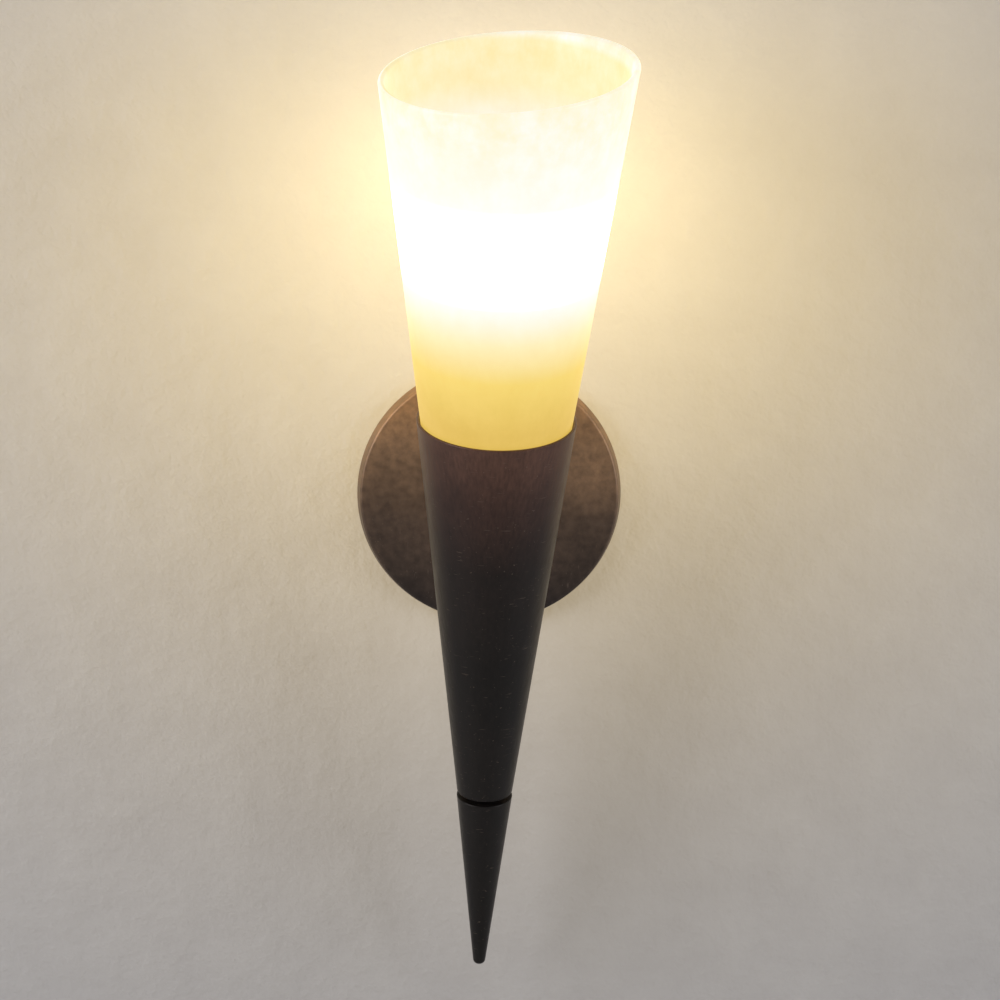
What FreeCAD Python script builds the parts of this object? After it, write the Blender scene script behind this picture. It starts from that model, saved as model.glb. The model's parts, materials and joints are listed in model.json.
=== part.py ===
"""Torch sconce: a leaning metal cone on a round wall plate, with a flared glass shade.

The row frame has +Z up. The wall is the plane Y = 0 and the room is towards -Y, with the
origin on the wall at the middle of the two wall screws. Lengths are in millimetres.

Two frames carry every piece. The wall frame's own z runs out of the wall, and its y runs
up. The torch frame's own z runs up the leaning axis of the cone, and its zero is where
that axis passes the middle of the wall plate.
"""

import FreeCAD, Part
import math
import os
import Sketcher
from FreeCAD import Placement, Rotation, Vector

doc = FreeCAD.newDocument("torch_sconce")

# --------------------------------------------------------------------------------------
# Driving dimensions
# --------------------------------------------------------------------------------------
DIMENSIONS = [
    # wall plate: a shallow pan with a sloping skirt
    ("plate_r", 65.0), ("plate_front_r", 63.4), ("plate_depth", 7.0),
    ("plate_sheet", 1.2), ("plate_edge", 1.4),
    # wall strap: a flat bar with a tab bent out at each end
    ("strap_width", 22.0), ("strap_sheet", 1.5), ("strap_tab", 5.5), ("strap_gap", 1.0),
    ("strap_hole_r", 8.0), ("slot_spacing", 70.0), ("slot_length", 14.0),
    ("slot_width", 4.6), ("earth_at", 18.0),
    ("grub_r", 1.25), ("grub_length", 7.0), ("grub_height", 3.5), ("grub_key", 0.7),
    ("grub_sink", 0.4),
    ("earth_r", 2.0), ("earth_head_r", 3.6), ("earth_head", 2.0),
    ("earth_washer_r", 4.4), ("earth_washer", 0.8),
    # arm: a turned spacer on a hollow threaded nipple
    ("arm_r", 11.0), ("arm_bead", 1.2), ("nipple_r", 5.0), ("nipple_bore_r", 3.5),
    ("nipple_start", 1.9), ("nipple_spare", 2.5), ("plate_nut", 2.6),
    ("lock_washer", 0.6), ("lock_washer_r", 9.0), ("saddle_washer", 3.0),
    ("nut_flats", 14.0), ("nut_height", 4.0), ("bush_lip_r", 5.0), ("bush_wall", 0.6),
    ("bush_lip", 1.0), ("bush_length", 6.0),
    # torch axis and cone
    ("axis_gap", 80.0), ("lean", 11.1), ("lip_z", 58.1), ("lip_r", 37.7),
    ("cone_length", 196.7), ("cone_end_r", 13.46), ("cone_wall", 1.2), ("lip_edge", 0.45),
    # glass shade
    ("rim_z", 228.9), ("rim_r", 59.5), ("glass_lip_r", 35.9), ("glass_wall", 3.0),
    ("glass_depth", 25.0), ("rim_slant", 5.2), ("rim_round", 1.35),
    # gallery and gasket under the glass
    ("gasket", 1.5), ("gasket_width", 3.0), ("gasket_gap", 0.9), ("gallery_sheet", 1.2),
    ("gallery_hole_r", 3.0),
    # tube, plug and finial
    ("tube_r", 5.0), ("tube_bore_r", 3.5), ("plug_height", 12.0), ("plug_socket", 6.0),
    ("stud_r", 3.0), ("stud_grip", 5.0), ("stud_length", 18.0),
    ("finial_gap", 2.5), ("finial_r", 13.59), ("finial_length", 95.7), ("tip_r", 2.8),
    ("tip_round", 2.4), ("finial_edge", 0.5), ("neck_r", 8.5),
    # lamp holder
    ("holder_z", 40.0), ("holder_r", 19.0), ("skirt_height", 17.0), ("skirt_wall", 1.8),
    ("skirt_floor", 3.0), ("body_height", 38.0), ("body_wall", 2.0), ("collar", 3.0),
    ("rib_r", 0.6), ("rib_pitch", 3.2), ("core_height", 9.0), ("wire_at", 12.0),
    ("core_socket", 3.0), ("shell_r", 14.0), ("shell_wall", 0.45), ("shell_height", 26.0),
    ("shell_flange_r", 16.5), ("contact_r", 3.0), ("contact_height", 4.4),
    # bulb
    ("cap_r", 13.2), ("cap_thread", 0.9), ("cap_pitch", 3.62), ("cap_wall", 0.5),
    ("cap_height", 24.0), ("insulator_height", 3.0), ("insulator_r", 6.0),
    ("bulb_contact_r", 4.5), ("bulb_contact", 1.8), ("bulb_r", 25.0),
    ("bulb_height", 70.0), ("bulb_wall", 0.7),
    ("stem_r", 5.0), ("stem_height", 20.0), ("filament_r", 0.9), ("filament_length", 32.0),
    ("filament_ring_r", 7.0), ("filament_wire_r", 0.3), ("mast_r", 0.8),
    # leads
    ("lead_r", 1.1), ("lead_part", 0.5), ("lead_drop", 4.0), ("lead_short", 5.5),
    # clearances
    ("play", 0.3), ("fit", 0.05), ("slip", 0.15),
]

sheet = doc.addObject("Spreadsheet::Sheet", "dims")
for row, (alias, number) in enumerate(DIMENSIONS, start=1):
    sheet.set(f"A{row}", alias)
    sheet.set(f"B{row}", str(number))
    sheet.setAlias(f"B{row}", alias)
doc.recompute()


class Size:
    """A length that keeps both its number and the sheet formula that gives it."""

    def __init__(self, number, text):
        self.number = number
        self.text = text

    def __add__(self, other):
        other = as_size(other)
        return Size(self.number + other.number, f"({self.text} + {other.text})")

    def __sub__(self, other):
        other = as_size(other)
        return Size(self.number - other.number, f"({self.text} - {other.text})")

    def __mul__(self, other):
        other = as_size(other)
        return Size(self.number * other.number, f"({self.text} * {other.text})")

    def __truediv__(self, other):
        other = as_size(other)
        return Size(self.number / other.number, f"({self.text} / {other.text})")

    def __neg__(self):
        return Size(-self.number, f"(0 - {self.text})")


def as_size(value):
    return value if isinstance(value, Size) else Size(float(value), repr(float(value)))


class Sheet:
    """Reads a driving dimension by its alias."""

    def __getattr__(self, alias):
        return Size(float(sheet.get(alias)), f"dims.{alias}")


d = Sheet()
ZERO = as_size(0)


def sin_of(angle):
    return Size(math.sin(math.radians(angle.number)), f"sin({angle.text} * 1deg)")


def cos_of(angle):
    return Size(math.cos(math.radians(angle.number)), f"cos({angle.text} * 1deg)")


def smaller(first, second):
    return Size(min(first.number, second.number), f"min({first.text}; {second.text})")


# --------------------------------------------------------------------------------------
# Derived places
# --------------------------------------------------------------------------------------
cone_end_z = d.lip_z - d.cone_length
cone_slope = (d.lip_r - d.cone_end_r) / d.cone_length
glass_slope = (d.rim_r - d.glass_lip_r) / (d.rim_z - d.lip_z)


def cone_r(z):
    """The cone's outer radius at a height along the torch axis."""
    return d.lip_r - cone_slope * (d.lip_z - z)


def glass_r(z):
    """The shade's outer radius at a height along the torch axis."""
    return d.glass_lip_r + glass_slope * (z - d.lip_z)


glass_end_z = d.lip_z - d.glass_depth
gasket_z = glass_end_z - d.play - d.gasket
gallery_z = gasket_z - d.gallery_sheet
plug_top_z = cone_end_z + d.plug_height
tube_start_z = plug_top_z - d.plug_socket
tube_end_z = d.holder_z + d.skirt_floor
finial_top_z = cone_end_z - d.finial_gap
finial_tip_z = finial_top_z - d.finial_length
holder_body_z = d.holder_z + d.skirt_height
shell_z = holder_body_z + d.core_height
bulb_contact_z = shell_z + d.contact_height + d.play
insulator_z = bulb_contact_z + d.bulb_contact
cap_z = insulator_z + d.insulator_height
bulb_z = cap_z + d.cap_height
# the back of the cone where the arm meets it, as a depth from the wall
cone_back = d.axis_gap - cone_r(ZERO) / cos_of(d.lean)
saddle_depth = cone_back + d.cone_wall
cone_nut_depth = saddle_depth + d.saddle_washer
nipple_end = cone_nut_depth + d.nut_height + d.nipple_spare

TORCH = "torch"
WALL = "wall"


# --------------------------------------------------------------------------------------
# Helpers
# --------------------------------------------------------------------------------------
def bind(thing, **sizes):
    """Sets each property and ties it to its sheet formula."""
    for name, size in sizes.items():
        size = as_size(size)
        setattr(thing, name, size.number)
        thing.setExpression(name, size.text)
    return thing


def at(thing, x=ZERO, y=ZERO, z=ZERO, axis=None, angle=ZERO):
    """Places a tool or a piece, with each coordinate tied to the sheet."""
    x, y, z, angle = (as_size(value) for value in (x, y, z, angle))
    turn = Rotation(Vector(*(axis or (0, 0, 1))), angle.number)
    thing.Placement = Placement(Vector(x.number, y.number, z.number), turn)
    for name, size in (("x", x), ("y", y), ("z", z)):
        thing.setExpression(f".Placement.Base.{name}", size.text)
    if axis is not None:
        thing.setExpression(".Placement.Rotation.Angle", angle.text)
    return thing


def in_frame(thing, frame):
    """Puts a finished piece, drawn in a frame's own axes, into the row frame."""
    if frame == WALL:
        return at(thing, axis=(1, 0, 0), angle=90)
    return at(thing, y=-d.axis_gap, axis=(1, 0, 0), angle=d.lean)


def cylinder(name, radius, height, x=ZERO, y=ZERO, z=ZERO, axis=None, angle=ZERO):
    tool = bind(doc.addObject("Part::Cylinder", name), Radius=radius, Height=height)
    return at(tool, x, y, z, axis, angle)


def box(name, length, width, height, x=ZERO, y=ZERO, z=ZERO):
    """A box that is centred on x, and starts at y and z."""
    tool = doc.addObject("Part::Box", name)
    bind(tool, Length=length, Width=width, Height=height)
    return at(tool, as_size(x) - as_size(length) / 2, y, z)


def cut(name, base, *tools):
    """The base less each tool."""
    for number, tool in enumerate(tools, start=1):
        result = doc.addObject("Part::Cut", name if tool is tools[-1] else f"{name}_{number}")
        result.Base = base
        result.Tool = tool
        base = result
    return base


def fuse(name, *pieces):
    result = doc.addObject("Part::MultiFuse", name)
    result.Shapes = list(pieces)
    return result


def group(name, *pieces):
    """Several separate solids that share one node."""
    result = doc.addObject("Part::Compound", name)
    result.Links = list(pieces)
    return result


def turned(name, profile):
    """A body of revolution about its own z, from an outline of (radius, height) corners."""
    body = doc.addObject("PartDesign::Body", name)
    sketch = body.newObject("Sketcher::SketchObject", f"{name}_outline")
    plane = [p for p in body.Origin.OriginFeatures if p.Role == "XZ_Plane"][0]
    sketch.AttachmentSupport = (plane, [""])
    sketch.MapMode = "FlatFace"
    corners = [(as_size(r), as_size(z)) for r, z in profile]
    points = [Vector(r.number, z.number, 0) for r, z in corners]
    count = len(points)
    for i in range(count):
        sketch.addGeometry(Part.LineSegment(points[i], points[(i + 1) % count]), False)
    for i in range(count):
        sketch.addConstraint(Sketcher.Constraint("Coincident", i, 2, (i + 1) % count, 1))
    for i, (r, z) in enumerate(corners):
        for kind, size in (("DistanceX", r), ("DistanceY", z)):
            number = sketch.addConstraint(Sketcher.Constraint(kind, -1, 1, i, 1, size.number))
            sketch.setExpression(f"Constraints[{number}]", size.text)
    turn = body.newObject("PartDesign::Revolution", f"{name}_turn")
    turn.Profile = sketch
    turn.ReferenceAxis = (sketch, ["V_Axis"])
    turn.Angle = 360
    body.Tip = turn
    doc.recompute()
    return body


def rounded(body, radius, *circles):
    """Rounds the circular edges of a turned body at the given (radius, height) places."""
    feature = body.Tip
    wanted = []
    for number, edge in enumerate(feature.Shape.Edges, start=1):
        if not isinstance(edge.Curve, Part.Circle):
            continue
        for r, z in circles:
            near = abs(edge.Curve.Radius - as_size(r).number) < 1e-4
            if near and abs(edge.Curve.Center.z - as_size(z).number) < 1e-4:
                wanted.append(f"Edge{number}")
    fillet = body.newObject("PartDesign::Fillet", f"{body.Name}_round")
    fillet.Base = (feature, wanted)
    bind(fillet, Radius=radius)
    body.Tip = fillet
    doc.recompute()
    return body


def hex_nut(name, height, bore_r, z):
    """A hexagonal nut on its own axis, across nut_flats."""
    prism = doc.addObject("Part::Prism", f"{name}_hex")
    prism.Polygon = 6
    bind(prism, Circumradius=d.nut_flats / math.sqrt(3), Height=height)
    at(prism, z=z)
    return cut(name, prism, cylinder(f"{name}_bore", bore_r, height, z=z))


def ring(name, outer_r, inner_r, height, z):
    blank = cylinder(f"{name}_blank", outer_r, height, z=z)
    return cut(name, blank, cylinder(f"{name}_bore", inner_r, height, z=z))


def feature(name, shape):
    piece = doc.addObject("Part::Feature", name)
    piece.Shape = shape
    return piece


def lead_shape(route, radius):
    """A round lead along straight runs that tangent arcs join."""
    points = [Vector(*point) for point in route]
    edges = []
    start = points[0]
    for before, corner, after in zip(points, points[1:], points[2:]):
        back = (before - corner).normalize()
        ahead = (after - corner).normalize()
        trim = 0.45 * min((before - corner).Length, (after - corner).Length)
        first = corner + back * trim
        last = corner + ahead * trim
        half_turn = (math.pi - back.getAngle(ahead)) / 2
        bend = trim / math.tan(half_turn)
        print(f"bend radius {bend:.1f}")
        centre = corner + (back + ahead).normalize() * math.hypot(trim, bend)
        middle = centre + (corner - centre).normalize() * bend
        edges.append(Part.LineSegment(start, first).toShape())
        edges.append(Part.Arc(first, middle, last).toShape())
        start = last
    edges.append(Part.LineSegment(start, points[-1]).toShape())
    path = Part.Wire(edges)
    section = Part.Wire(Part.makeCircle(radius, points[0], points[1] - points[0]))
    tube = path.makePipeShell([section], True, False)
    drawn = math.pi * radius**2 * path.Length
    if abs(tube.Volume - drawn) > 0.01 * drawn:
        raise ValueError(f"lead volume {tube.Volume:.1f} differs from {drawn:.1f}")
    return tube


PIECES = {}


def keep(piece, frame):
    """Places a finished piece and lists it under its own name."""
    piece.Label = piece.Name
    PIECES[piece.Name] = in_frame(piece, frame) if frame else piece
    return piece


# --------------------------------------------------------------------------------------
# Wall side, drawn in the wall frame: y is up and z runs out of the wall
# --------------------------------------------------------------------------------------
def wall_plate():
    """The round cover: a pressed pan with a sloping skirt and a hole for the nipple."""
    hole = d.nipple_r + d.slip
    inner_front = d.plate_depth - d.plate_sheet
    pan = turned("plate_pan", [
        (hole, d.plate_depth), (d.plate_front_r, d.plate_depth), (d.plate_r, ZERO),
        (d.plate_r - d.plate_sheet, ZERO), (d.plate_front_r - d.plate_sheet, inner_front),
        (hole, inner_front)])
    rounded(pan, d.plate_edge, (d.plate_front_r, d.plate_depth))
    across = (d.plate_r + d.plate_front_r) * 2
    grub_hole = cylinder("plate_grub_hole", d.grub_r + d.slip, across,
                         y=-across / 2, z=d.grub_height, axis=(-1, 0, 0), angle=90)
    keep(cut("wall_plate", pan, grub_hole), WALL)


# the strap clears the narrower end of the plate's skirt
strap_reach = smaller(d.plate_r, d.plate_front_r) - d.plate_sheet - d.strap_gap


def wall_strap():
    """The flat bar on the wall, with slots, an earth hole and a tapped tab at each end."""
    bar = box("strap_bar", d.strap_width, strap_reach * 2, d.strap_sheet, y=-strap_reach)
    tabs = [
        box(f"strap_tab_{n}", d.strap_width, d.strap_sheet, d.strap_tab, y=y)
        for n, y in enumerate((-strap_reach, strap_reach - d.strap_sheet))]
    blank = fuse("strap_blank", bar, *tabs)
    deep = d.strap_sheet * 2
    tools = [cylinder("strap_hole", d.strap_hole_r, deep)]
    for n, side in enumerate((-1, 1)):
        middle = d.slot_spacing / 2 * side
        straight = d.slot_length - d.slot_width
        tools.append(box(f"slot_{n}", d.slot_width, straight, deep, y=middle - straight / 2))
        for end in (-1, 1):
            tools.append(cylinder(f"slot_end_{n}_{end + 1}", d.slot_width / 2, deep,
                                  y=middle + straight / 2 * end))
    tools.append(cylinder("earth_hole", d.earth_r + d.fit, deep, y=d.earth_at))
    across = strap_reach * 2 + 2
    tools.append(cylinder("strap_grub_hole", d.grub_r + d.fit, across, y=-across / 2,
                          z=d.grub_height, axis=(-1, 0, 0), angle=90))
    keep(cut("wall_strap", blank, *tools), WALL)


def grub_screws():
    """Two socket screws, above and below, that hold the plate on the strap's tabs."""
    screws = []
    skirt_r = d.plate_r - (d.plate_r - d.plate_front_r) * d.grub_height / d.plate_depth
    head_at = skirt_r - d.grub_sink
    for n, (start, direction) in enumerate(((head_at, 1), (-head_at, -1))):
        shank = cylinder(f"grub_shank_{n}", d.grub_r, d.grub_length, y=start,
                         z=d.grub_height, axis=(1, 0, 0), angle=90 * direction)
        key = cylinder(f"grub_key_{n}", d.grub_key, d.grub_r, y=start,
                       z=d.grub_height, axis=(1, 0, 0), angle=90 * direction)
        screws.append(cut(f"grub_{n}", shank, key))
    keep(group("plate_grub_screws", *screws), WALL)


def earth_parts():
    """The earth screw in the strap, and its washer."""
    head_z = d.strap_sheet + d.earth_washer
    shank = cylinder("earth_shank", d.earth_r, head_z, y=d.earth_at)
    head = cylinder("earth_head", d.earth_head_r, d.earth_head, y=d.earth_at, z=head_z)
    slot = box("earth_slot", d.earth_head_r * 2, d.earth_r / 2, d.earth_head / 2,
               y=d.earth_at - d.earth_r / 4, z=head_z + d.earth_head / 2)
    keep(cut("earth_screw", fuse("earth_blank", shank, head), slot), WALL)
    washer = cylinder("washer_blank", d.earth_washer_r, d.earth_washer, y=d.earth_at,
                      z=d.strap_sheet)
    hole = cylinder("washer_hole", d.earth_r + d.fit, d.earth_washer, y=d.earth_at,
                    z=d.strap_sheet)
    keep(cut("earth_washer", washer, hole), WALL)


def cone_envelope(name, inset):
    """The solid cone inside the torch's outer skin, for fitting pieces to it."""
    tool = doc.addObject("Part::Cone", name)
    bind(tool, Radius1=d.cone_end_r - inset, Radius2=d.lip_r - inset, Height=d.cone_length)
    # the same place as the torch, written in the wall frame's axes
    return at(tool, y=cone_end_z * cos_of(d.lean),
              z=d.axis_gap + cone_end_z * sin_of(d.lean),
              axis=(1, 0, 0), angle=d.lean - 90)


def arm_parts():
    """The spacer, nipple, nuts, washers and bush that join the cone to the plate."""
    rounding = d.lip_r - d.cone_end_r
    spacer = cylinder("arm_blank", d.arm_r, cone_back + rounding - d.plate_depth,
                      z=d.plate_depth)
    bead = doc.addObject("Part::Torus", "arm_bead_ring")
    bind(bead, Radius1=d.arm_r, Radius2=d.arm_bead)
    at(bead, z=d.plate_depth + d.arm_bead)
    bore = cylinder("arm_bore", d.nipple_r + d.slip, nipple_end)
    keep(cut("arm_spacer", fuse("arm_solid", spacer, bead), bore,
             cone_envelope("arm_cope", -d.fit)), WALL)

    nipple = ring("arm_nipple", d.nipple_r, d.nipple_bore_r, nipple_end - d.nipple_start,
                  d.nipple_start)
    keep(nipple, WALL)

    washer_z = d.plate_depth - d.plate_sheet - d.lock_washer
    keep(ring("plate_lock_washer", d.lock_washer_r, d.nipple_r + d.fit, d.lock_washer,
              washer_z), WALL)
    keep(hex_nut("plate_nut", d.plate_nut, d.nipple_r, washer_z - d.plate_nut), WALL)

    blank = ring("saddle_blank", d.lock_washer_r, d.nipple_r + d.fit,
                 cone_nut_depth - cone_back, cone_back)
    saddle = doc.addObject("Part::Common", "saddle_washer")
    saddle.Base = blank
    saddle.Tool = cone_envelope("saddle_cope", d.cone_wall + d.slip)
    keep(saddle, WALL)
    keep(hex_nut("cone_nut", d.nut_height, d.nipple_r, cone_nut_depth), WALL)

    inner = nipple_end - d.bush_length
    bush = turned("cable_bush", [
        (d.nipple_bore_r - d.bush_wall, inner), (d.nipple_bore_r, inner),
        (d.nipple_bore_r, nipple_end), (d.bush_lip_r, nipple_end),
        (d.bush_lip_r, nipple_end + d.bush_lip),
        (d.nipple_bore_r - d.bush_wall, nipple_end + d.bush_lip)])
    keep(bush, WALL)


# --------------------------------------------------------------------------------------
# Torch side, drawn in the torch frame: z runs up the leaning axis
# --------------------------------------------------------------------------------------
def torch_cone():
    """The tapered shell, open at both ends, with a hole in its back for the nipple."""
    shell = turned("cone_shell", [
        (d.cone_end_r, cone_end_z), (d.lip_r, d.lip_z), (d.lip_r - d.cone_wall, d.lip_z),
        (d.cone_end_r - d.cone_wall, cone_end_z)])
    rounded(shell, d.lip_edge, (d.lip_r, d.lip_z), (d.cone_end_r, cone_end_z))
    # the nipple's line lies level, so in the leaning frame it tips by the lean
    start = d.axis_gap - cone_back + d.arm_r
    hole = cylinder("cone_hole", d.nipple_r + d.slip, d.arm_r * 2,
                    y=start * cos_of(d.lean), z=-start * sin_of(d.lean),
                    axis=(1, 0, 0), angle=as_size(90) - d.lean)
    keep(cut("torch_cone", shell, hole), TORCH)


def glass_shade():
    """The flared glass, open at both ends, with its mouth cut a little out of square."""
    over = d.rim_r * 2 * sin_of(d.rim_slant)
    top = d.rim_z + over
    tube = turned("glass_blank", [
        (glass_r(glass_end_z), glass_end_z), (glass_r(top), top),
        (glass_r(top) - d.glass_wall, top),
        (glass_r(glass_end_z) - d.glass_wall, glass_end_z)])
    waste = doc.addObject("Part::Cylinder", "mouth_waste")
    bind(waste, Radius=d.rim_r * 2, Height=over * 3)
    at(waste, z=d.rim_z, axis=(0, 1, 0), angle=-d.rim_slant)
    blank = cut("glass_cut", tube, waste)
    doc.recompute()
    lip = [n for n, edge in enumerate(blank.Shape.Edges, start=1)
           if edge.BoundBox.ZMin > d.rim_z.number - over.number]
    shade = doc.addObject("Part::Fillet", "glass_shade")
    shade.Base = blank
    shade.Edges = [(n, d.rim_round.number, d.rim_round.number) for n in lip]
    keep(shade, TORCH)


def gallery_parts():
    """The pierced disc that carries the glass, and the soft ring on it."""
    disc_r = cone_r(gallery_z) - d.cone_wall - d.slip * 2
    disc = cylinder("gallery_disc", disc_r, d.gallery_sheet, z=gallery_z)
    tools = [cylinder("gallery_bore", d.tube_r + d.fit, d.gallery_sheet, z=gallery_z)]
    for n in range(6):
        turn = math.radians(60 * n)
        tools.append(cylinder(f"gallery_hole_{n}", d.gallery_hole_r, d.gallery_sheet,
                              x=d.wire_at * round(math.cos(turn), 6),
                              y=d.wire_at * round(math.sin(turn), 6), z=gallery_z))
    keep(cut("shade_gallery", disc, *tools), TORCH)
    seat_r = cone_r(gasket_z) - d.cone_wall - d.gasket_gap
    keep(ring("shade_gasket", seat_r, seat_r - d.gasket_width, d.gasket, gasket_z), TORCH)


def spine_parts():
    """The hollow threaded tube up the middle, its nuts, and the plug at its foot."""
    keep(ring("centre_tube", d.tube_r, d.tube_bore_r, tube_end_z - tube_start_z,
              tube_start_z), TORCH)
    places = [gallery_z - d.nut_height, gallery_z + d.gallery_sheet,
              d.holder_z - d.nut_height]
    nuts = [hex_nut(f"tube_nut_{n}", d.nut_height, d.tube_r, z)
            for n, z in enumerate(places)]
    keep(group("tube_nuts", *nuts), TORCH)

    wall = d.cone_wall + d.fit
    plug = turned("cone_plug", [
        (d.stud_r + d.fit, cone_end_z), (cone_r(cone_end_z) - wall, cone_end_z),
        (cone_r(plug_top_z) - wall, plug_top_z), (d.tube_r, plug_top_z),
        (d.tube_r, tube_start_z), (d.stud_r + d.fit, tube_start_z)])
    keep(plug, TORCH)


def finial_parts():
    """The pointed end, the stud that screws it on, and the washer in the dark gap."""
    grip = d.stud_length - d.stud_grip - d.finial_gap
    point = turned("finial", [
        (d.stud_r, finial_top_z), (d.finial_r, finial_top_z), (d.tip_r, finial_tip_z),
        (ZERO, finial_tip_z), (ZERO, finial_top_z - grip), (d.stud_r, finial_top_z - grip)])
    rounded(point, d.tip_round, (d.tip_r, finial_tip_z))
    rounded(point, d.finial_edge, (d.finial_r, finial_top_z))
    keep(point, TORCH)
    foot = finial_top_z - grip
    head = foot + d.stud_length
    keep(turned("finial_stud", [
        (ZERO, foot), (d.stud_r, foot), (d.stud_r, head), (ZERO, head)]), TORCH)
    keep(ring("finial_washer", d.neck_r, d.stud_r, d.finial_gap - d.play, finial_top_z),
         TORCH)


def holder_parts():
    """The lamp holder: skirt, threaded body, ceramic core, screw shell and contact."""
    floor_top = d.holder_z + d.skirt_floor
    inner = d.holder_r - d.skirt_wall
    skirt = turned("skirt_solid", [
        (d.tube_r, d.holder_z), (d.holder_r, d.holder_z), (d.holder_r, holder_body_z),
        (inner, holder_body_z), (inner, floor_top), (d.tube_r, floor_top)])
    rounded(skirt, d.skirt_wall / 2, (d.holder_r, d.holder_z))
    holes = [cylinder(f"skirt_hole_{n}", d.lead_r + d.fit, d.skirt_floor,
                      x=d.wire_at * side, z=d.holder_z)
             for n, side in enumerate((-1, 1))]
    keep(cut("holder_skirt", skirt, *holes), TORCH)

    top = holder_body_z + d.body_height
    bore = d.holder_r - d.body_wall
    tube = turned("body_tube", [
        (bore, holder_body_z), (d.holder_r, holder_body_z), (d.holder_r, top),
        (d.shell_r + d.play, top), (d.shell_r + d.play, top - d.collar),
        (bore, top - d.collar)])
    ribs = []
    for n in range(7):
        rib = bind(doc.addObject("Part::Torus", f"body_rib_{n}"), Radius1=d.holder_r,
                   Radius2=d.rib_r)
        ribs.append(at(rib, z=holder_body_z + d.rib_pitch * (n + 3)))
    keep(fuse("holder_body", tube, *ribs), TORCH)

    core = cylinder("core_solid", bore - d.fit, d.core_height, z=holder_body_z)
    sockets = [cylinder(f"core_socket_{n}", d.lead_r + d.fit, d.core_socket,
                        x=d.wire_at * side, z=holder_body_z)
               for n, side in enumerate((-1, 1))]
    keep(cut("holder_core", core, *sockets), TORCH)

    shell_bore = d.shell_r - d.shell_wall
    shell = turned("screw_shell", [
        (shell_bore, shell_z), (d.shell_flange_r, shell_z),
        (d.shell_flange_r, shell_z + d.shell_wall), (d.shell_r, shell_z + d.shell_wall),
        (d.shell_r, shell_z + d.shell_height), (shell_bore, shell_z + d.shell_height)])
    keep(shell, TORCH)
    tip = shell_z + d.contact_height
    keep(turned("contact_spring", [
        (ZERO, shell_z), (d.contact_r, shell_z), (d.contact_r, tip), (ZERO, tip)]), TORCH)


def bulb_solid(inset):
    """The bulb's form: a ball on a waisted neck, drawn inwards by the inset."""
    neck = (d.cap_r - d.cap_thread).number - inset
    ball = d.bulb_r.number - inset
    foot = bulb_z.number
    centre = foot + (d.bulb_height - d.bulb_r).number
    rise = centre - foot
    top = Vector(0, 0, centre + ball)
    side = Vector(ball, 0, centre)
    shoulder = Vector(ball * math.sqrt(0.5), 0, centre + ball * math.sqrt(0.5))
    waist = Part.BSplineCurve()
    waist.interpolate(
        [Vector(neck, 0, foot), Vector(neck + (ball - neck) * 0.48, 0, foot + rise * 0.5),
         side],
        InitialTangent=Vector(0, 0, 1), FinalTangent=Vector(0, 0, 1))
    edges = [waist.toShape(), Part.Arc(side, shoulder, top).toShape(),
             Part.LineSegment(top, Vector(0, 0, foot)).toShape(),
             Part.LineSegment(Vector(0, 0, foot), Vector(neck, 0, foot)).toShape()]
    return Part.Face(Part.Wire(edges)).revolve(Vector(0, 0, 0), Vector(0, 0, 1), 360)


CAP_TURNS = 5


def bulb_parts():
    """The screw-cap bulb: contact, insulator, cap, glass, stem and filaments."""
    contact = turned("bulb_contact", [
        (ZERO, bulb_contact_z), (d.bulb_contact_r, bulb_contact_z),
        (d.bulb_contact_r, insulator_z), (ZERO, insulator_z)])
    keep(rounded(contact, d.bulb_contact / 2, (d.bulb_contact_r, bulb_contact_z)), TORCH)
    root_r = d.cap_r - d.cap_thread
    keep(turned("bulb_insulator", [
        (ZERO, insulator_z), (d.insulator_r, insulator_z), (root_r, cap_z), (ZERO, cap_z)]),
        TORCH)
    outline = [(root_r - d.cap_wall, cap_z), (root_r, cap_z)]
    for n in range(CAP_TURNS):
        foot = cap_z + d.cap_pitch * (n + 0.5)
        outline += [(root_r, foot), (d.cap_r, foot + d.cap_pitch / 2)]
    outline += [(root_r, cap_z + d.cap_pitch * (CAP_TURNS + 0.5)), (root_r, bulb_z),
                (root_r - d.cap_wall, bulb_z)]
    keep(turned("bulb_cap", outline), TORCH)

    glass = bulb_solid(0).cut(bulb_solid(d.bulb_wall.number))
    keep(feature("bulb_glass", glass), TORCH)

    stem_foot = bulb_z + d.play
    mast_foot = stem_foot + d.stem_height
    filament_z = mast_foot + d.filament_wire_r * 2
    mast_top = filament_z + d.filament_length + d.filament_wire_r * 2
    keep(turned("bulb_stem", [
        (ZERO, stem_foot), (root_r - d.bulb_wall * 2, stem_foot),
        (d.stem_r, stem_foot + d.stem_height / 4), (d.mast_r, mast_foot),
        (d.mast_r, mast_top), (ZERO, mast_top)]), TORCH)
    sticks, wires = [], []
    levels = (filament_z - d.filament_wire_r,
              filament_z + d.filament_length + d.filament_wire_r)
    for n in range(4):
        turn = 90 * n + 45
        across = round(math.cos(math.radians(turn)), 6)
        along = round(math.sin(math.radians(turn)), 6)
        sticks.append(cylinder(f"filament_{n}", d.filament_r, d.filament_length,
                               x=d.filament_ring_r * across,
                               y=d.filament_ring_r * along, z=filament_z))
        for level, z in enumerate(levels):
            wire = cylinder(f"wire_{level}_{n}", d.filament_wire_r,
                            d.filament_ring_r - d.mast_r, x=d.mast_r * across,
                            y=d.mast_r * along, z=z)
            wire.Placement = Placement(
                wire.Placement.Base,
                Rotation(Vector(0, 0, 1), Vector(across, along, 0)))
            wires.append(wire)
    keep(group("bulb_filaments", *sticks), TORCH)
    keep(group("filament_wires", *wires), TORCH)


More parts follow.
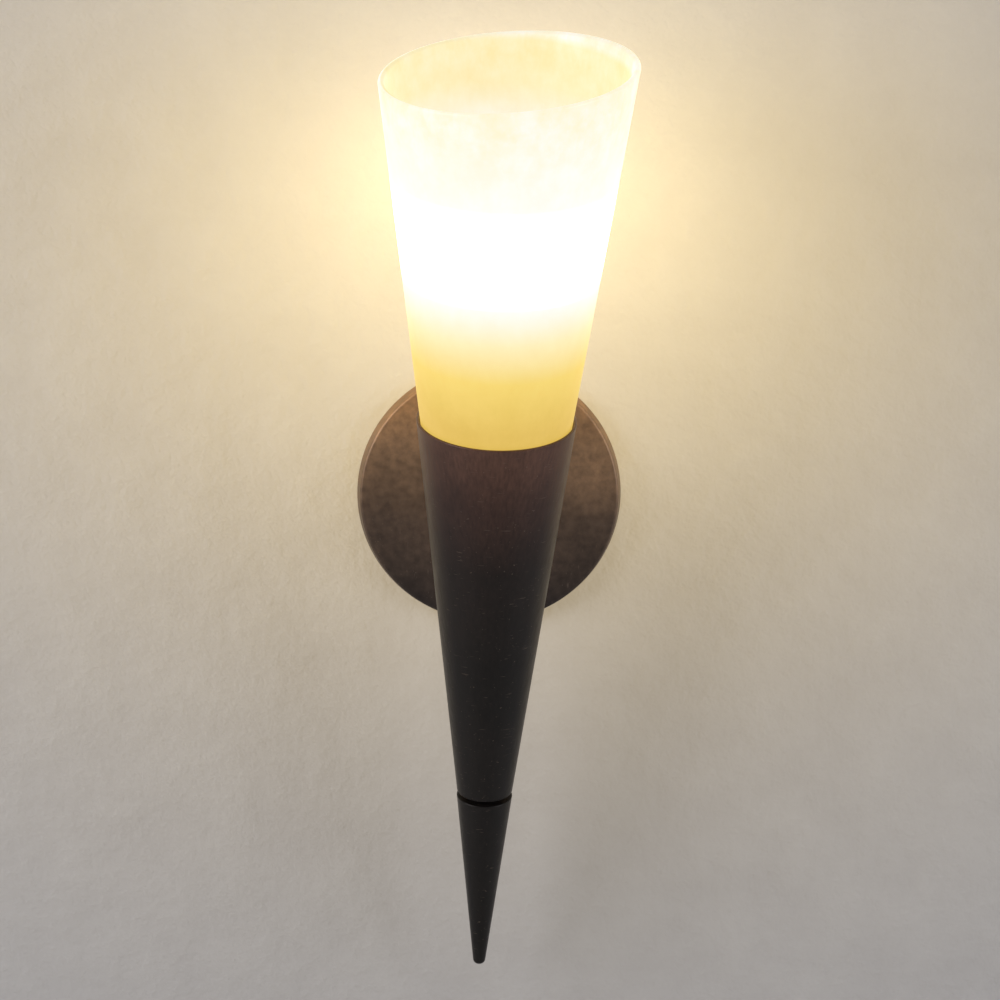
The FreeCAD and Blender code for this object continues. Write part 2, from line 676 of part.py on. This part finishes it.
# how far along the bend each point lies: across, towards the wall, and down
BEND = [(0.33, 0.235, 0.49), (0.695, 0.513, 0.844), (0.948, 0.79, 0.977)]


def to_row(x, y, z):
    """A point of the torch frame, in the row frame."""
    lean = Rotation(Vector(1, 0, 0), d.lean.number)
    return lean.multVec(Vector(x, y, z)) + Vector(0, -d.axis_gap.number, 0)


def leads():
    """The two leads: down from the holder, through the disc, and along the nipple."""
    side_by_side = (d.lead_r + d.lead_part / 2).number
    mouth = -(nipple_end + d.bush_lip).number - side_by_side
    end = Vector(side_by_side, mouth, 0)
    top = to_row(d.wire_at.number, 0, (holder_body_z + d.core_socket).number)
    start = to_row(d.wire_at.number, 0, (gallery_z - d.lead_drop).number)
    route = [top, start]
    for across, back, down in BEND:
        route.append(Vector(start.x + (end.x - start.x) * across,
                            start.y + (end.y - start.y) * back,
                            start.z + (end.z - start.z) * down))
    route += [end, Vector(end.x, -(d.nipple_start + d.lead_short).number, 0)]
    for name, side in (("live_lead", -1), ("neutral_lead", 1)):
        points = [(point.x * side, point.y, point.z) for point in route]
        keep(feature(name, lead_shape(points, d.lead_r.number)), None)


def build():
    wall_plate()
    wall_strap()
    grub_screws()
    earth_parts()
    arm_parts()
    torch_cone()
    glass_shade()
    gallery_parts()
    spine_parts()
    finial_parts()
    holder_parts()
    bulb_parts()
    leads()
    doc.recompute()


def check_and_write():
    """Stops on any failed object or bad shape, then writes one STEP file per piece."""
    for thing in doc.Objects:
        if "Invalid" in thing.State or "Error" in thing.State:
            raise RuntimeError(f"{thing.Name} failed: {thing.State}")
    for name, piece in PIECES.items():
        shape = piece.Shape
        if shape.isNull() or not shape.isValid() or not shape.Solids:
            raise RuntimeError(f"{name} has no valid solid")
    os.makedirs("parts", exist_ok=True)
    for name, piece in PIECES.items():
        piece.Shape.exportStep(f"parts/{name}.step")
        bounds = piece.Shape.BoundBox
        print(f"{name:20s} {len(piece.Shape.Solids)} solids {piece.Shape.Volume:10.1f} mm3"
              f"  x {bounds.XMin:7.1f} {bounds.XMax:7.1f}  y {bounds.YMin:7.1f}"
              f" {bounds.YMax:7.1f}  z {bounds.ZMin:7.1f} {bounds.ZMax:7.1f}")


build()
check_and_write()
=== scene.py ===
# %% [markdown]
# # A torch sconce
#
# This wall light is a slim bronze cone that leans out from a round plate, with a pointed
# finial below and a flared cream glass shade above. The engineering model gives every
# piece its true place and size. This lesson dresses it: it sets up a wall and a camera,
# gives each metal, glass and plastic its finish, and spins a finer glass shade.

# %% Load the frame
import bmesh
import bpy
import json
import math
from mathutils import Matrix, Vector


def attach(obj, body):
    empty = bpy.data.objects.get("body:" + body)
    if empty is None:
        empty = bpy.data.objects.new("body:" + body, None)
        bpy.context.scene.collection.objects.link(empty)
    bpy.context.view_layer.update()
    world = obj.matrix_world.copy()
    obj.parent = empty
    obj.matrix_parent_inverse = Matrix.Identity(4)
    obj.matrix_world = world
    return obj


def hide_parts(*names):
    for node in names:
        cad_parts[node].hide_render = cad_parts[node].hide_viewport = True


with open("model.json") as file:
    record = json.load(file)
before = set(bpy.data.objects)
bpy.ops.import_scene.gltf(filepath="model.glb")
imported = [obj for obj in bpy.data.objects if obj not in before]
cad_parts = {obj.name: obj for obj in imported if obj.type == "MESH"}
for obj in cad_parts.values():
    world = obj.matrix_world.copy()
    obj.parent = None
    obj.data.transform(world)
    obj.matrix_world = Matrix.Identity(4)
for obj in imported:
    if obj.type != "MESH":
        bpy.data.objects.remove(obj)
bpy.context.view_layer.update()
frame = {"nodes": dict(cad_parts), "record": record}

# %% [markdown]
# ## The torch's own axis
#
# The cone leans, so it is easiest to think along its axis. The axis passes 80 mm out from
# the wall at the height of the plate's middle, and leans out by 11.1 degrees. One matrix
# carries points from the torch's own axes, where z runs up the cone, to the room's.

# %% The torch frame
LEAN = math.radians(11.1)
AXIS_FOOT = Vector((0, -0.080, 0))
AXIS_UP = Vector((0, -math.sin(LEAN), math.cos(LEAN)))
TORCH = Matrix.Translation(AXIS_FOOT) @ Matrix.Rotation(LEAN, 4, "X")
print("axis direction", tuple(AXIS_UP))

# %% [markdown]
# ## Camera
#
# The photograph was taken from a little above and a little to the left. The position and
# the three turns below come from matching the outlines of the plate, cup, rim and finial,
# and the long lens keeps the cone's taper looking as it does in the photograph.

# %% Camera
VIEW_FROM = Vector((-0.054453, -1.921107, 0.451308))
VIEW_YAW, VIEW_PITCH, VIEW_ROLL = (math.radians(turn) for turn in (1.787, -13.31, -1.501))
LENS_MM = 144.0


def camera_matrix():
    forward = Vector((math.sin(VIEW_YAW) * math.cos(VIEW_PITCH),
                      math.cos(VIEW_YAW) * math.cos(VIEW_PITCH), math.sin(VIEW_PITCH)))
    level = Vector((math.cos(VIEW_YAW), -math.sin(VIEW_YAW), 0))
    down = forward.cross(level)
    right = level * math.cos(VIEW_ROLL) + down * math.sin(VIEW_ROLL)
    below = down * math.cos(VIEW_ROLL) - level * math.sin(VIEW_ROLL)
    turn = Matrix((right, -below, -forward)).transposed().to_4x4()
    return Matrix.Translation(VIEW_FROM) @ turn


lens = bpy.data.cameras.new("camera")
lens.lens = LENS_MM
lens.sensor_width = 36
lens.clip_end = 20
camera = bpy.data.objects.new("camera", lens)
bpy.context.scene.collection.objects.link(camera)
camera.matrix_world = camera_matrix()
bpy.context.scene.camera = camera
print("camera stands", round(VIEW_FROM.length, 3), "m away")

# %% [markdown]
# ## Small helpers for materials
#
# Each finish is a node tree that reads Object coordinates, so the pattern stays fixed to
# the piece whatever the view. Short helpers keep the trees readable: they add a node, and
# make noise, a colour ramp, a blend, a sum or a bump. One more tells how far up the torch's
# axis a point lies.

# %% Material helpers
def srgb(red, green, blue):
    """A colour as seen on a screen, 0 to 255, as the light values a shader wants."""
    share = [value / 255 for value in (red, green, blue)]
    return (*[s / 12.92 if s <= 0.04045 else ((s + 0.055) / 1.055) ** 2.4 for s in share], 1)


def new_material(name):
    material = bpy.data.materials.new(name)
    material.use_nodes = True
    return material, material.node_tree, material.node_tree.nodes["Principled BSDF"]


def add(tree, kind, **settings):
    node = tree.nodes.new(kind)
    for key, value in settings.items():
        setattr(node, key, value)
    return node


def place(tree, turn=(0, 0, 0), scale=(1, 1, 1)):
    """Object coordinates, turned into a pattern's own axes."""
    coordinates = add(tree, "ShaderNodeTexCoord")
    mapping = add(tree, "ShaderNodeMapping")
    mapping.inputs["Rotation"].default_value = turn
    mapping.inputs["Scale"].default_value = scale
    tree.links.new(coordinates.outputs["Object"], mapping.inputs["Vector"])
    return mapping.outputs["Vector"]


def noise(tree, vector, scale, detail=4, roughness=0.55):
    node = add(tree, "ShaderNodeTexNoise")
    node.inputs["Scale"].default_value = scale
    node.inputs["Detail"].default_value = detail
    node.inputs["Roughness"].default_value = roughness
    tree.links.new(vector, node.inputs["Vector"])
    return node.outputs["Fac"]


def ramp(tree, value, stops):
    node = add(tree, "ShaderNodeValToRGB")
    elements = node.color_ramp.elements
    while len(elements) < len(stops):
        elements.new(0.5)
    for element, (position, colour) in zip(elements, stops):
        element.position = position
        element.color = colour
    tree.links.new(value, node.inputs["Fac"])
    return node.outputs["Color"]


def blend(tree, amount, first, second, kind="MIX"):
    node = add(tree, "ShaderNodeMix", data_type="RGBA", blend_type=kind)
    for socket, value in ((0, amount), (6, first), (7, second)):
        if isinstance(value, bpy.types.NodeSocket):
            tree.links.new(value, node.inputs[socket])
        else:
            node.inputs[socket].default_value = value
    return node.outputs[2]


def sums(tree, kind, first, second, clamp=False):
    node = add(tree, "ShaderNodeMath", operation=kind, use_clamp=clamp)
    for socket, value in ((0, first), (1, second)):
        if isinstance(value, bpy.types.NodeSocket):
            tree.links.new(value, node.inputs[socket])
        else:
            node.inputs[socket].default_value = value
    return node.outputs[0]


def bump(tree, shader, height, strength, distance):
    node = add(tree, "ShaderNodeBump")
    node.inputs["Strength"].default_value = strength
    node.inputs["Distance"].default_value = distance
    tree.links.new(height, node.inputs["Height"])
    tree.links.new(node.outputs["Normal"], shader.inputs["Normal"])


def along_axis(tree):
    """How far up the torch's axis a point lies, in metres."""
    coordinates = add(tree, "ShaderNodeTexCoord")
    away = add(tree, "ShaderNodeVectorMath", operation="SUBTRACT")
    away.inputs[1].default_value = AXIS_FOOT
    height = add(tree, "ShaderNodeVectorMath", operation="DOT_PRODUCT")
    height.inputs[1].default_value = AXIS_UP
    tree.links.new(coordinates.outputs["Object"], away.inputs[0])
    tree.links.new(away.outputs["Vector"], height.inputs[0])
    return height.outputs["Value"]


print("helpers ready")

# %% [markdown]
# ## Dark bronze
#
# The cone, finial, plate and arm share one satin finish, a dark brown patina under lacquer.
# Three things make it look real: a fine grain runs up the cone where it was brushed, soft
# clouds change the tone, and short pale scratches and specks mark the lacquer. Its colour is
# also warmer and lighter towards the cup, which is painted light from the lit glass above. The
# grain is noise squeezed across the axis and drawn out along it, and the scratches are the
# peaks of a noise squeezed the other way.

# %% Dark bronze
def bronze(name, body, grain, scratch, turn, roughness):
    """body gives the base colour, painted light included, from the material's node tree."""
    material, tree, shader = new_material(name)
    plain = place(tree)
    clouds = noise(tree, plain, 30, 5, 0.6)
    streaks = noise(tree, place(tree, turn, grain), 1, 3)
    marks = noise(tree, place(tree, turn, scratch), 1, 2, 0.5)
    specks = noise(tree, plain, 900, 2, 0.5)
    tone = body(tree)
    worn = ramp(tree, clouds, [(0.30, (0.72, 0.72, 0.74, 1)), (0.72, (1.22, 1.18, 1.14, 1))])
    tone = blend(tree, 1.0, tone, worn, "MULTIPLY")
    lined = ramp(tree, streaks, [(0.30, (0.78, 0.78, 0.80, 1)), (0.70, (1.20, 1.18, 1.16, 1))])
    tone = blend(tree, 1.0, tone, lined, "MULTIPLY")
    scratches = ramp(tree, marks, [(0.69, (0, 0, 0, 1)), (0.75, (1, 1, 1, 1))])
    tone = blend(tree, sums(tree, "MULTIPLY", scratches, 0.30), tone, srgb(128, 110, 96))
    spots = ramp(tree, specks, [(0.70, (0, 0, 0, 1)), (0.76, (1, 1, 1, 1))])
    tone = blend(tree, sums(tree, "MULTIPLY", spots, 0.35), tone, srgb(140, 122, 106))
    tree.links.new(tone, shader.inputs["Base Color"])
    shader.inputs["Metallic"].default_value = 0.35
    shader.inputs["Specular IOR Level"].default_value = 0.3
    shader.inputs["Coat Weight"].default_value = 0.12
    shader.inputs["Coat Roughness"].default_value = 0.28
    wear = ramp(tree, streaks, [(0.3, (roughness - 0.06,) * 3 + (1,)),
                                (0.7, (roughness + 0.08,) * 3 + (1,))])
    tree.links.new(wear, shader.inputs["Roughness"])
    relief = sums(tree, "ADD", sums(tree, "MULTIPLY", streaks, 0.6),
                  sums(tree, "MULTIPLY", scratches, 0.4))
    bump(tree, shader, relief, 0.16, 0.0004)
    return material


# the cone's bronze colour up its axis; the warmer, lighter stops near the cup are painted
# light from the lit glass
CONE_TONE_AND_PAINTED_GLOW = [(-0.060, (24, 20, 18)), (-0.010, (36, 28, 25)), (0.025, (64, 46, 40)),
          (0.056, (100, 72, 60))]
CONE_RAMP_FROM, CONE_RAMP_TO = -0.250, 0.060


def torch_tone_and_painted_glow(tree):
    """The bronze's colour; it is warmer and lighter towards the cup, which is painted light
    from the lit glass.
    """
    where = add(tree, "ShaderNodeMapRange")
    where.inputs["From Min"].default_value = CONE_RAMP_FROM
    where.inputs["From Max"].default_value = CONE_RAMP_TO
    tree.links.new(along_axis(tree), where.inputs["Value"])
    return ramp(tree, where.outputs["Result"], [
        ((height - CONE_RAMP_FROM) / (CONE_RAMP_TO - CONE_RAMP_FROM), srgb(*colour))
        for height, colour in CONE_TONE_AND_PAINTED_GLOW])


def plate_tone_and_painted_glow(tree):
    """The plate's bronze, a little browner; it is paler towards the top, which is painted
    light from the lit glass above.
    """
    coordinates = add(tree, "ShaderNodeTexCoord")
    height = add(tree, "ShaderNodeSeparateXYZ")
    tree.links.new(coordinates.outputs["Object"], height.inputs["Vector"])
    clouds = sums(tree, "MULTIPLY", noise(tree, place(tree), 14, 3), 0.12)
    share = add(tree, "ShaderNodeMapRange")
    share.inputs["From Min"].default_value = -0.060
    share.inputs["From Max"].default_value = 0.062
    tree.links.new(height.outputs["Z"], share.inputs["Value"])
    # the pale upper stops are painted light from the glass, laid over the bronze's own colour
    return ramp(tree, sums(tree, "ADD", share.outputs["Result"], clouds),
                [(0.10, srgb(56, 49, 46)), (0.45, srgb(108, 90, 76)),
                 (0.75, srgb(158, 127, 97)), (1.00, srgb(184, 142, 98))])


LEAN_BACK = (-LEAN, 0, 0)
torch_bronze_painted_glow = bronze("torch_bronze_painted_glow", torch_tone_and_painted_glow, (700, 700, 40), (160, 160, 1500),
                      LEAN_BACK, 0.40)
plate_bronze_painted_glow = bronze("plate_bronze_painted_glow", plate_tone_and_painted_glow, (260, 260, 260), (1100, 1100, 190),
                      (0, 0, 0), 0.44)
print("bronze finishes made")

# %% [markdown]
# ## Plain hardware
#
# Nuts, tube, strap and holder are never seen in the photograph, but they show when the
# shade is lifted or the light is seen from behind. One function gives each a colour that
# varies a little, a roughness that varies with it, and a fine bump.

# %% Plain hardware finishes
def hardware(name, dark, light, metallic, roughness, scale=180, glow=0):
    material, tree, shader = new_material(name)
    grain = noise(tree, place(tree), scale, 4)
    colour = ramp(tree, grain, [(0.3, dark), (0.7, light)])
    tree.links.new(colour, shader.inputs["Base Color"])
    polish = ramp(tree, grain, [(0.3, (max(roughness - 0.07, 0.02),) * 3 + (1,)),
                                (0.7, (roughness + 0.07,) * 3 + (1,))])
    tree.links.new(polish, shader.inputs["Roughness"])
    shader.inputs["Metallic"].default_value = metallic
    if glow:
        tree.links.new(colour, shader.inputs["Emission Color"])
        shader.inputs["Emission Strength"].default_value = glow
    bump(tree, shader, grain, 0.1, 0.0002)
    return material


FINISHES = {
    "bronze_metal": torch_bronze_painted_glow,
    "dark_washer": hardware("black_lacquer", srgb(14, 13, 13), srgb(28, 26, 25), 0.3, 0.5),
    "zinc_steel": hardware("zinc", srgb(164, 166, 170), srgb(188, 190, 194), 1, 0.36),
    "brass_parts": hardware("brass", srgb(176, 138, 70), srgb(214, 176, 100), 1, 0.28),
    "nickel_cap": hardware("nickel", srgb(172, 170, 162), srgb(206, 204, 198), 1, 0.26),
    "black_glass": hardware("black_vitrite", srgb(16, 16, 19), srgb(30, 30, 34), 0, 0.16),
    "silicone": hardware("silicone", srgb(206, 206, 200), srgb(226, 226, 220), 0, 0.55),
    "holder_plastic": hardware("phenolic", srgb(20, 19, 19), srgb(34, 33, 32), 0, 0.3),
    "white_ceramic": hardware("steatite", srgb(216, 214, 205), srgb(236, 234, 226), 0, 0.35),
    "filament": hardware("lit_filament", srgb(255, 196, 92), srgb(255, 226, 150), 0, 0.5,
                         700, 6),
    "live_insulation": hardware("black_lead", srgb(18, 18, 18), srgb(32, 32, 32), 0, 0.42),
    "neutral_insulation": hardware("white_lead", srgb(214, 214, 208), srgb(234, 234, 228),
                                   0, 0.42),
}
print(len(FINISHES), "finishes")

# %% [markdown]
# ## Clear bulb glass
#
# The bulb's own envelope is clear and thin. A glass shader with a slight change in
# roughness keeps it from looking like plastic.

# %% Clear bulb glass
clear, tree, shader = new_material("clear_bulb")
haze = noise(tree, place(tree), 90, 3)
tree.links.new(ramp(tree, haze, [(0.3, (0.01, 0.01, 0.01, 1)), (0.8, (0.06, 0.06, 0.06, 1))]),
               shader.inputs["Roughness"])
tree.links.new(ramp(tree, haze, [(0.3, srgb(250, 248, 240)), (0.8, srgb(255, 254, 250))]),
               shader.inputs["Base Color"])
shader.inputs["Transmission Weight"].default_value = 1.0
shader.inputs["IOR"].default_value = 1.2
FINISHES["clear_glass"] = clear
print("bulb glass made")

# %% [markdown]
# ## Lit shade glass
#
# The shade is lit from inside. Low down it glows golden yellow, round the bulb it is too
# bright to show any colour, and at the top it fades to mottled cream. So its glow is a
# ramp up the torch's axis through five plain colours, and cloudy noise breaks it up where
# it isn't overexposed. The inside has a ramp of its own, because it is seen only near the
# mouth. Each ramp is lowered by the light that the glass reflects besides.

# %% Lit shade glass
SHADE_FOOT, SHADE_MOUTH = 0.0331, 0.2288
# round the bulb the glow is a light value, brighter than a screen can show
HOT = (8.5, 6.6, 2.9)
GOLD, STRAW, CREAM = (225, 190, 100), (245, 215, 120), (255, 240, 190)
IVORY, WHITE = (255, 248, 225), (255, 255, 250)
OUTSIDE = [(0.065, GOLD), (0.092, STRAW), (0.112, CREAM), (0.130, WHITE), (0.142, HOT),
           (0.165, HOT), (0.180, WHITE), (0.229, IVORY)]
INSIDE = [(0.120, IVORY), (0.190, IVORY), (0.206, CREAM), (0.226, CREAM), (0.229, IVORY)]
# how strong the clouds are, by height
CLOUDS = [(0.105, 0.18), (0.180, 0.25), (0.205, 0.60), (0.220, 1.00)]
RAMP_FROM, RAMP_TO = 0.030, 0.245
BRIGHTEST = max(HOT)


def glow_value(colour):
    """A screen colour as light, or a light value kept as it is."""
    return colour if colour is HOT else srgb(*colour)[:3]


def lit_glass(name, stops, reflected):
    material, tree, shader = new_material(name)
    where = add(tree, "ShaderNodeMapRange")
    where.inputs["From Min"].default_value = RAMP_FROM
    where.inputs["From Max"].default_value = RAMP_TO
    tree.links.new(along_axis(tree), where.inputs["Value"])
    span = RAMP_TO - RAMP_FROM
    glow = ramp(tree, where.outputs["Result"], [
        ((height - RAMP_FROM) / span,
         (*[max(channel - lost, 0) / BRIGHTEST
            for channel, lost in zip(glow_value(colour), reflected)], 1))
        for height, colour in stops])
    plain = place(tree)
    clouds = noise(tree, plain, 62, 5, 0.62)
    wisps = noise(tree, place(tree, LEAN_BACK, (1, 1, 0.45)), 190, 5, 0.7)
    mottling = sums(tree, "ADD", sums(tree, "MULTIPLY", clouds, 0.65),
                    sums(tree, "MULTIPLY", wisps, 0.35))
    veil = ramp(tree, mottling, [(0.40, (0.99, 0.965, 0.85, 1)), (0.52, (1, 1, 1, 1)),
                                 (0.62, (1.0, 1.02, 1.13, 1))])
    cloudy = ramp(tree, where.outputs["Result"], [
        ((height - RAMP_FROM) / span, (share,) * 3 + (1,)) for height, share in CLOUDS])
    lit = blend(tree, cloudy, glow, blend(tree, 1.0, glow, veil, "MULTIPLY"))
    tree.links.new(lit, shader.inputs["Emission Color"])
    shader.inputs["Emission Strength"].default_value = BRIGHTEST
    tint = ramp(tree, mottling, [(0.35, srgb(112, 96, 60)), (0.65, srgb(130, 112, 74))])
    tree.links.new(tint, shader.inputs["Base Color"])
    shader.inputs["Roughness"].default_value = 0.42
    shader.inputs["IOR"].default_value = 1.45
    bump(tree, shader, mottling, 0.15, 0.0006)
    return material


shade_outside = lit_glass("shade_outside", OUTSIDE, (0.10, 0.08, 0.05))
shade_inside = lit_glass("shade_inside", INSIDE, (0.16, 0.12, 0.05))
FINISHES["shade_glass"] = shade_outside
print("shade glass made")

# %% [markdown]
# ## Every piece gets its finish
#
# Each engineering piece belongs to one kind of stuff, such as zinc plated steel, brass or
# clear glass, and takes the finish made for it. Only the wall plate has its own patina,
# because in the photograph it is paler at the top, nearest the lit glass. Much of that is
# the lamp's light, so the patina here holds some tone that a real plate would not.

# %% Give every engineering node its finish
slot_of = {part["node"]: part["material_slot"] for part in frame["record"]["subparts"]}
for node, piece in frame["nodes"].items():
    finish = plate_bronze_painted_glow if node == "wall_plate" else FINISHES[slot_of[node]]
    piece.data.materials.clear()
    piece.data.materials.append(finish)
    for face in piece.data.polygons:
        face.material_index = 0
print(len(slot_of), "nodes finished")

# %% [markdown]
# ## The glass shade
#
# The real shade is a blown and cut glass cone with a soft fire-polished lip. Its mouth is
# not quite square: the right side stands higher. The wall's section has four corners. It
# is spun about the axis, the lip and foot are rounded with a bevel, and the long sides are
# divided. Each point is then slid up or down the cone's own slope to slant the mouth, so
# the sides stay straight. A solid cone hollowed out would do as well, but one spun section
# keeps the wall equally thick all over.

# %% The glass shade
LIP_HEIGHT, LIP_RADIUS = 0.0581, 0.0359
MOUTH_RADIUS, GLASS_WALL = 0.05945, 0.003
FLARE = (MOUTH_RADIUS - LIP_RADIUS) / (SHADE_MOUTH - LIP_HEIGHT)
MOUTH_SLANT = math.tan(math.radians(5.2))
SPIN_STEPS, SIDE_CUTS, LIP_SEGMENTS = 144, 39, 8
LIP_ROUNDING = GLASS_WALL * 0.48
# two lengths closer than SAME count as equal, and an edge over LONG_SIDE runs up the glass
SAME, LONG_SIDE = 1e-6, 0.1


def glass_radius(height):
    return LIP_RADIUS + FLARE * (height - LIP_HEIGHT)


def slant(point):
    """Slides a point along the flare, more the nearer it is to the mouth."""
    share = (point.z - SHADE_FOOT) / (SHADE_MOUTH - SHADE_FOOT)
    share = max(0.0, min(1.0, share)) ** 2
    rise = point.x * MOUTH_SLANT * share
    across = Vector((point.x, point.y))
    across *= 1 + FLARE * rise / across.length
    return Vector((across.x, across.y, point.z + rise))


shape = bmesh.new()
section = [shape.verts.new((glass_radius(height) - depth, 0, height))
           for height, depth in ((SHADE_FOOT, 0), (SHADE_MOUTH, 0),
                                 (SHADE_MOUTH, GLASS_WALL), (SHADE_FOOT, GLASS_WALL))]
outline = [shape.edges.new((section[corner - 1], section[corner])) for corner in range(4)]
bmesh.ops.spin(shape, geom=section + outline, cent=(0, 0, 0), axis=(0, 0, 1),
               angle=math.tau, steps=SPIN_STEPS, use_merge=True)
bmesh.ops.remove_doubles(shape, verts=shape.verts, dist=1e-7)
rings = [edge for edge in shape.edges
         if abs(edge.verts[0].co.z - edge.verts[1].co.z) < SAME
         and abs(edge.verts[0].co.xy.length - edge.verts[1].co.xy.length) < SAME]
bmesh.ops.bevel(shape, geom=rings, affect="EDGES", offset=LIP_ROUNDING,
                segments=LIP_SEGMENTS, profile=0.5, material=-1)
sides = [edge for edge in shape.edges if edge.calc_length() > LONG_SIDE]
bmesh.ops.subdivide_edges(shape, edges=sides, cuts=SIDE_CUTS, use_grid_fill=True)
print(len(rings), "edges rounded,", len(sides), "sides divided")
for vertex in shape.verts:
    vertex.co = slant(vertex.co)
bmesh.ops.recalc_face_normals(shape, faces=shape.faces)
for face in shape.faces:
    middle = face.calc_center_median()
    inward = Vector((middle.x, middle.y)).length < glass_radius(middle.z) - GLASS_WALL / 2
    face.material_index = 1 if inward else 0
    face.smooth = True
bmesh.ops.transform(shape, matrix=TORCH, verts=shape.verts)
mesh = bpy.data.meshes.new("glass_flare")
shape.to_mesh(mesh)
shape.free()
glass_flare = bpy.data.objects.new("glass_flare", mesh)
bpy.context.scene.collection.objects.link(glass_flare)
mesh.materials.append(shade_outside)
mesh.materials.append(shade_inside)
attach(glass_flare, "shade")
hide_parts("glass_shade")
print("shade has", len(mesh.polygons), "faces")

# %% [markdown]
# ## Wall and floor
#
# A wall light needs its wall. It is a pale painted plane just behind the plate, and it
# lets the view through from behind, so that the back can be looked at. The floor lies well
# below and lets the view through from under it. The lit glass throws a warm pool on a real
# wall. Here that pool is a glow in the wall's own material, and it doesn't light the torch
# except where polished metal or glass mirrors it.

# %% Wall and floor
def plane(name, corners, material):
    """One flat face of the stage, which isn't part of the object."""
    shape = bmesh.new()
    shape.faces.new([shape.verts.new(corner) for corner in corners])
    mesh = bpy.data.meshes.new(name)
    shape.to_mesh(mesh)
    shape.free()
    mesh.materials.append(material)
    piece = bpy.data.objects.new(name, mesh)
    bpy.context.scene.collection.objects.link(piece)


paint, tree, shader = new_material("wall_paint")
texture = place(tree)
plaster = noise(tree, texture, 26, 5, 0.66)
tree.links.new(ramp(tree, plaster, [(0.3, srgb(174, 174, 178)), (0.7, srgb(182, 182, 185))]),
               shader.inputs["Base Color"])
shader.inputs["Roughness"].default_value = 0.8
bump(tree, shader, plaster, 0.5, 0.006)

# the warm pool on the wall, seen by the camera, in polished pieces and through glass
GLOW_ON_WALL = (0.54, 0.39, 0.15)
GLOW_CENTRE, GLOW_REACH, GLOW_FALL = (0.0, 0.0, 0.125), (0.32, 1.0, 0.25), -1.7
coordinates = add(tree, "ShaderNodeTexCoord")
centred = add(tree, "ShaderNodeMapping", vector_type="TEXTURE")
centred.inputs["Location"].default_value = GLOW_CENTRE
centred.inputs["Scale"].default_value = GLOW_REACH
squared = add(tree, "ShaderNodeVectorMath", operation="DOT_PRODUCT")
tree.links.new(coordinates.outputs["Object"], centred.inputs["Vector"])
for socket in (0, 1):
    tree.links.new(centred.outputs["Vector"], squared.inputs[socket])
pool = sums(tree, "POWER", sums(tree, "ADD", squared.outputs["Value"], 1.0), GLOW_FALL)
rays = add(tree, "ShaderNodeLightPath")
seen = sums(tree, "ADD", rays.outputs["Is Camera Ray"], rays.outputs["Is Glossy Ray"])
seen = sums(tree, "ADD", seen, rays.outputs["Is Transmission Ray"], clamp=True)
shader.inputs["Emission Color"].default_value = (*GLOW_ON_WALL, 1)
tree.links.new(sums(tree, "MULTIPLY", pool, seen), shader.inputs["Emission Strength"])


def clear_where(tree, shader, also=None):
    """Lets the view through from behind, and where a second value is 1."""
    behind = add(tree, "ShaderNodeNewGeometry").outputs["Backfacing"]
    if also is not None:
        behind = sums(tree, "ADD", behind, also, clamp=True)
    through = add(tree, "ShaderNodeBsdfTransparent")
    either = add(tree, "ShaderNodeMixShader")
    tree.links.new(behind, either.inputs["Fac"])
    tree.links.new(shader.outputs["BSDF"], either.inputs[1])
    tree.links.new(through.outputs["BSDF"], either.inputs[2])
    tree.links.new(either.outputs["Shader"], tree.nodes["Material Output"].inputs["Surface"])


# the wall is open behind the plate, as at a wall box
WALL_BOX_R = 0.0640
from_middle = add(tree, "ShaderNodeVectorMath", operation="LENGTH")
tree.links.new(coordinates.outputs["Object"], from_middle.inputs[0])
clear_where(tree, shader, sums(tree, "LESS_THAN", from_middle.outputs["Value"], WALL_BOX_R))

WALL_AT, ROOM, FLOOR_AT = 0.0006, 3.0, -0.75
plane("wall", [(-ROOM, WALL_AT, FLOOR_AT), (ROOM, WALL_AT, FLOOR_AT), (ROOM, WALL_AT, ROOM),
               (-ROOM, WALL_AT, ROOM)], paint)
floor_paint, tree, shader = new_material("floor_paint")
grain = noise(tree, place(tree), 12, 4)
tree.links.new(ramp(tree, grain, [(0.3, srgb(208, 206, 202)), (0.7, srgb(216, 214, 210))]),
               shader.inputs["Base Color"])
shader.inputs["Roughness"].default_value = 0.7
clear_where(tree, shader)
plane("floor", [(-ROOM, -ROOM, FLOOR_AT), (ROOM, -ROOM, FLOOR_AT), (ROOM, ROOM, FLOOR_AT),
                (-ROOM, ROOM, FLOOR_AT)], floor_paint)
print("wall and floor placed")

# %% [markdown]
# ## Lights
#
# A room light like this is seen mostly by its own glow. Two broad lamps stand well to the
# left and right, so that they catch the cone's edges and leave its middle dark, as in the
# photograph. A third lights the back, for anyone who looks behind the plate.

# %% Lights
# where each lamp stands, its power in watts, its width in metres and its colour
LAMPS = {
    "left": ((-1.5, -0.95, 0.5), 19, 1.2, (1, 0.98, 0.98)),
    "right": ((1.6, -0.95, 0.3), 14, 1.3, (0.96, 0.97, 1)),
    "back": ((0.8, 1.8, 1.0), 18, 1.5, (1, 1, 1)),
}
ROOM_COLOUR, ROOM_STRENGTH = (0.86, 0.88, 0.93, 1), 0.20


def lamp(name, stands_at, power, width, colour):
    """A round soft lamp that aims at the middle of the wall plate."""
    data = bpy.data.lights.new(name, "AREA")
    data.shape = "DISK"
    data.size = width
    data.energy = power
    data.color = colour
    light = bpy.data.objects.new(name, data)
    light.location = stands_at
    light.rotation_euler = (-Vector(stands_at)).to_track_quat("-Z", "Y").to_euler()
    bpy.context.scene.collection.objects.link(light)


for name, settings in LAMPS.items():
    lamp(name, *settings)
world = bpy.data.worlds.new("room_light")
world.use_nodes = True
world.node_tree.nodes["Background"].inputs["Color"].default_value = ROOM_COLOUR
world.node_tree.nodes["Background"].inputs["Strength"].default_value = ROOM_STRENGTH
bpy.context.scene.world = world
bpy.context.scene.view_settings.view_transform = "Standard"
print(len(LAMPS), "lamps")
